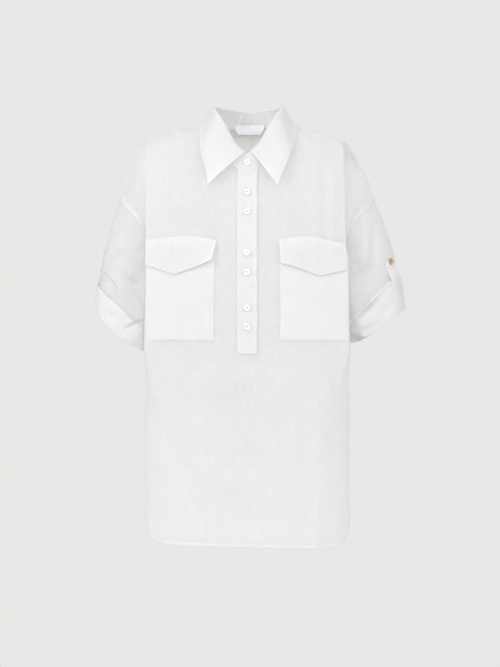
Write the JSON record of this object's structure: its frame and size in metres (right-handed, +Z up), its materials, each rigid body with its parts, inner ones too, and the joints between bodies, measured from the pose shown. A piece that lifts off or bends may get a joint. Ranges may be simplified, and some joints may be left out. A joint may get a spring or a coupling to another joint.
{
  "type": "short sleeve popover shirt",
  "caption": "Wide linen popover shirt with turned-up short sleeves, a pointed collar, a half placket and flapped chest pockets, standing hollow as if worn.",
  "frame": {"origin": "middle of the neck opening, level with the inner ends of the shoulder seams, where the wearer's neck and shoulders hold the shirt", "axes": "+Z up along the wearer's spine, -Y out of the front, +X towards the wearer's left arm"},
  "size_m": [0.5444, 0.2367, 0.7682],
  "materials": {
    "linen": "single layer of white plain-weave linen with uneven slubs",
    "linen_double": "two or more layers of the same white linen, brighter and crisper, with topstitched edges",
    "shell_button": "polished mother-of-pearl with a dished middle",
    "label_satin": "woven satin ribbon, blank"
  },
  "bodies": {
    "root": {"front_panel": "linen", "back_panel": "linen", "sleeve_right": "linen", "sleeve_left": "linen", "collar_stand": "linen_double", "collar_leaf": "linen_double", "placket_overlap": "linen_double", "placket_underlap": "linen_double", "pocket_right": "linen_double", "pocket_left": "linen_double", "flap_right": "linen_double", "flap_left": "linen_double", "tab_right": "linen_double", "tab_left": "linen_double", "button_1": "shell_button", "button_2": "shell_button", "button_3": "shell_button", "button_4": "shell_button", "button_5": "shell_button", "button_6": "shell_button", "button_7": "shell_button", "tab_button_right": "shell_button", "tab_button_left": "shell_button", "neck_label": "label_satin", "size_label": "label_satin"}
  },
  "joints": []
}
